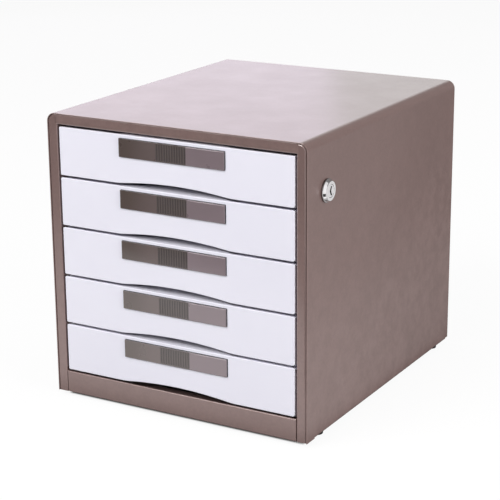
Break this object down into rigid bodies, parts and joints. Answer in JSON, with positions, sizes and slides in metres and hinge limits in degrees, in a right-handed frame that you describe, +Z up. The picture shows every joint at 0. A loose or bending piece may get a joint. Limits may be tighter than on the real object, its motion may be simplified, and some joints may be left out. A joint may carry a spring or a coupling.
{
  "type": "desktop file cabinet",
  "caption": "Lockable desktop file cabinet: a folded steel case on rubber feet, stacked sliding drawers with grooved label plates and finger arches, and a key lock in the right side.",
  "frame": {"origin": "middle of the footprint, on the surface that the feet stand on", "axes": "+Z up, the drawers face -Y and slide out along -Y, +X is to the right seen from the front"},
  "size_m": [0.3032, 0.3458, 0.305],
  "materials": {
    "case_paint": "satin",
    "inner_paint": "satin",
    "drawer_plastic": "satin",
    "plate_plastic": "gloss",
    "lock_chrome": "polished",
    "zinc": "zinc plated",
    "foot_rubber": "matt"
  },
  "bodies": {
    "case": {"case_skin": "case_paint", "front_frame": "case_paint", "kick_rail": "case_paint", "base_panel": "inner_paint", "back_panel": "inner_paint", "back_screws": "zinc", "upright_left_front": "inner_paint", "upright_left_rear": "inner_paint", "upright_right_front": "inner_paint", "upright_right_rear": "inner_paint", "runner_left_1": "zinc", "runner_left_2": "zinc", "runner_left_3": "zinc", "runner_left_4": "zinc", "runner_left_5": "zinc", "runner_right_1": "zinc", "runner_right_2": "zinc", "runner_right_3": "zinc", "runner_right_4": "zinc", "runner_right_5": "zinc", "foot_front_left": "foot_rubber", "foot_front_right": "foot_rubber", "foot_rear_left": "foot_rubber", "foot_rear_right": "foot_rubber", "foot_screws": "zinc", "lock_housing": "lock_chrome", "lock_nut": "zinc", "bar_guide_upper": "inner_paint", "bar_guide_lower": "inner_paint"},
    "drawer_1": {"drawer_tray_1": "drawer_plastic", "drawer_slides_1": "drawer_plastic", "drawer_front_1": "drawer_plastic", "drawer_screws_1": "zinc", "label_plate_1": "plate_plastic"},
    "drawer_2": {"drawer_tray_2": "drawer_plastic", "drawer_slides_2": "drawer_plastic", "drawer_front_2": "drawer_plastic", "drawer_screws_2": "zinc", "label_plate_2": "plate_plastic"},
    "drawer_3": {"drawer_tray_3": "drawer_plastic", "drawer_slides_3": "drawer_plastic", "drawer_front_3": "drawer_plastic", "drawer_screws_3": "zinc", "label_plate_3": "plate_plastic"},
    "drawer_4": {"drawer_tray_4": "drawer_plastic", "drawer_slides_4": "drawer_plastic", "drawer_front_4": "drawer_plastic", "drawer_screws_4": "zinc", "label_plate_4": "plate_plastic"},
    "drawer_5": {"drawer_tray_5": "drawer_plastic", "drawer_slides_5": "drawer_plastic", "drawer_front_5": "drawer_plastic", "drawer_screws_5": "zinc", "label_plate_5": "plate_plastic"},
    "lock_core": {"lock_plug": "lock_chrome", "lock_cam": "zinc", "cam_screw": "zinc"},
    "locking_bar": {"lock_bar": "zinc", "lock_fingers": "zinc"}
  },
  "joints": [
    {"name": "drawer_1_slide", "type": "slide", "parent": "case", "child": "drawer_1", "axis": [0, -1, 0], "range_m": [0, 0.23]},
    {"name": "drawer_2_slide", "type": "slide", "parent": "case", "child": "drawer_2", "axis": [0, -1, 0], "range_m": [0, 0.23]},
    {"name": "drawer_3_slide", "type": "slide", "parent": "case", "child": "drawer_3", "axis": [0, -1, 0], "range_m": [0, 0.23]},
    {"name": "drawer_4_slide", "type": "slide", "parent": "case", "child": "drawer_4", "axis": [0, -1, 0], "range_m": [0, 0.23]},
    {"name": "drawer_5_slide", "type": "slide", "parent": "case", "child": "drawer_5", "axis": [0, -1, 0], "range_m": [0, 0.23]},
    {"name": "lock_turn", "type": "hinge", "parent": "case", "child": "lock_core", "pos_m": [0.149, -0.1345, 0.252], "axis": [1, 0, 0], "range_deg": [0, 90]},
    {"name": "locking_bar_lift", "type": "slide", "parent": "case", "child": "locking_bar", "axis": [0, 0, 1], "range_m": [0, 0.00989]}
  ],
  "couplings": [
    {"joint": "lock_turn", "follows": "locking_bar_lift", "rad_per_m": 158.73}
  ]
}
